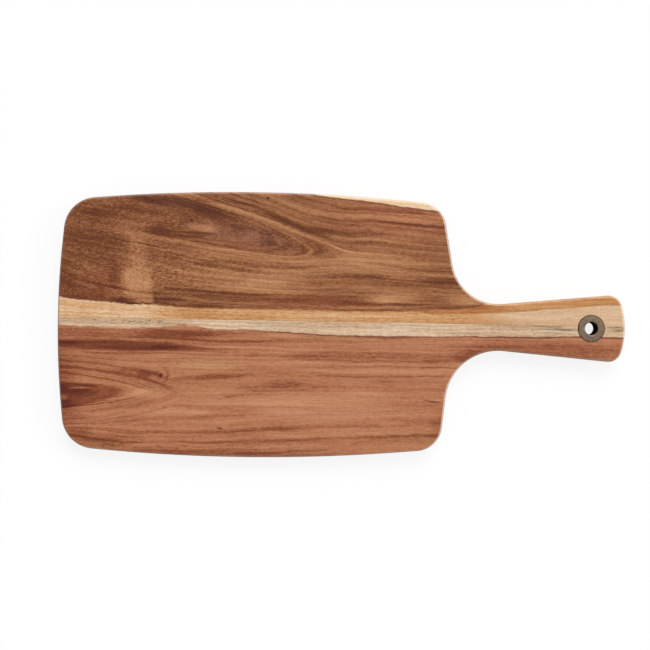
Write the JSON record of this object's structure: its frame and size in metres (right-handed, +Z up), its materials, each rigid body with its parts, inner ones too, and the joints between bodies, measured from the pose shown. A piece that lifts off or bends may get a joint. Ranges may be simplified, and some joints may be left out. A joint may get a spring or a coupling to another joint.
{
  "type": "paddle serving board",
  "caption": "Flat wooden paddle board for serving cheese and cold cuts, with bowed sides, a flared handle and a metal eyelet to hang it by.",
  "frame": {"origin": "middle of the board's underside, in length and width", "axes": "+X along the board towards the handle, +Y across it towards the darker stave, +Z up out of the serving face"},
  "size_m": [0.43, 0.201, 0.0154],
  "materials": {
    "dark_acacia": "oiled, dark brown heartwood with a pale sapwood edge",
    "red_acacia": "oiled, reddish brown heartwood with a pale sapwood edge",
    "wood_glue": "cured wood glue, amber",
    "aged_bronze": "antique bronze, satin"
  },
  "bodies": {
    "root": {"upper_stave": "dark_acacia", "lower_stave": "red_acacia", "glue_line": "wood_glue", "eyelet_front": "aged_bronze", "eyelet_back": "aged_bronze"}
  },
  "joints": []
}
